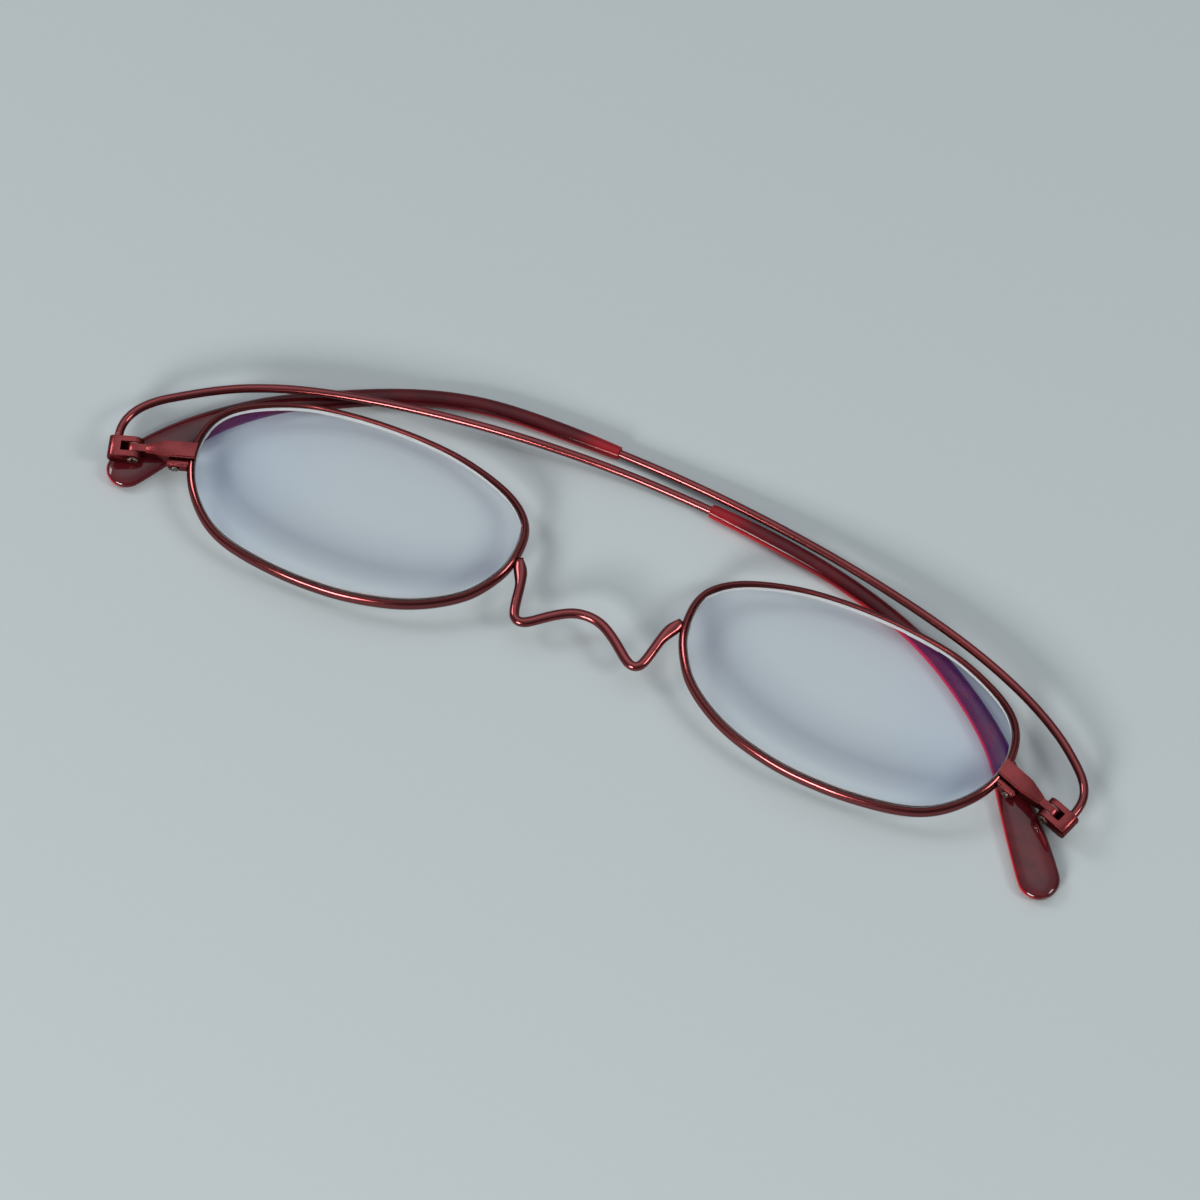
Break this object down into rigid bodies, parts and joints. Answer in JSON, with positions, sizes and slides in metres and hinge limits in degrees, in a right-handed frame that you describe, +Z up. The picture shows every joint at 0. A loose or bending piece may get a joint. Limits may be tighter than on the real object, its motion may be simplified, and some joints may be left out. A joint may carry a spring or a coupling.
{
  "type": "reading glasses",
  "caption": "Folding reading glasses: oval wire rims with clear lenses, a bent wire bridge, and thin hinged wire temples with flat curved tips that fold flat behind the front.",
  "frame": {"origin": "on the table, under the middle of the folded pair's bounding box", "axes": "+X towards the picture's right, along the front; +Y from the lens centres to the lens tops; +Z up, out of the lenses' front faces"},
  "size_m": [0.1342, 0.0372, 0.0047],
  "materials": {
    "frame_metal": "satin wine-red coating over metal",
    "screw_steel": "fine turned steel",
    "tip_plastic": "glossy translucent deep red",
    "lens_glass": "clear, coated, faintly blue",
    "washer_plastic": "plain nylon"
  },
  "bodies": {
    "temple_left": {"hinge_fork_left": "frame_metal", "hinge_screw_left": "screw_steel", "temple_wire_left": "frame_metal", "temple_tip_left": "tip_plastic"},
    "front": {"bridge_wire": "frame_metal", "rim_left": "frame_metal", "lens_left": "lens_glass", "end_piece_left": "frame_metal", "rim_lock_left": "frame_metal", "rim_lock_screw_left": "screw_steel", "hinge_washer_upper_left": "washer_plastic", "hinge_washer_lower_left": "washer_plastic", "rim_right": "frame_metal", "lens_right": "lens_glass", "end_piece_right": "frame_metal", "rim_lock_right": "frame_metal", "rim_lock_screw_right": "screw_steel", "hinge_washer_upper_right": "washer_plastic", "hinge_washer_lower_right": "washer_plastic"},
    "temple_right": {"hinge_fork_right": "frame_metal", "hinge_screw_right": "screw_steel", "temple_wire_right": "frame_metal", "temple_tip_right": "tip_plastic"}
  },
  "joints": [
    {"name": "right_temple_hinge", "type": "hinge", "parent": "front", "child": "temple_right", "pos_m": [0.06283, -0.00789, 0.00315], "axis": [-0.3584, -0.9336, 0], "range_deg": [0, 96]},
    {"name": "left_temple_hinge", "type": "hinge", "parent": "temple_left", "child": "front", "pos_m": [-0.06352, -0.00745, 0.00315], "axis": [0.3007, -0.9537, 0], "range_deg": [0, 84]}
  ],
  "couplings": [
    {"joint": "left_temple_hinge", "follows": "right_temple_hinge", "ratio": 0.875}
  ]
}
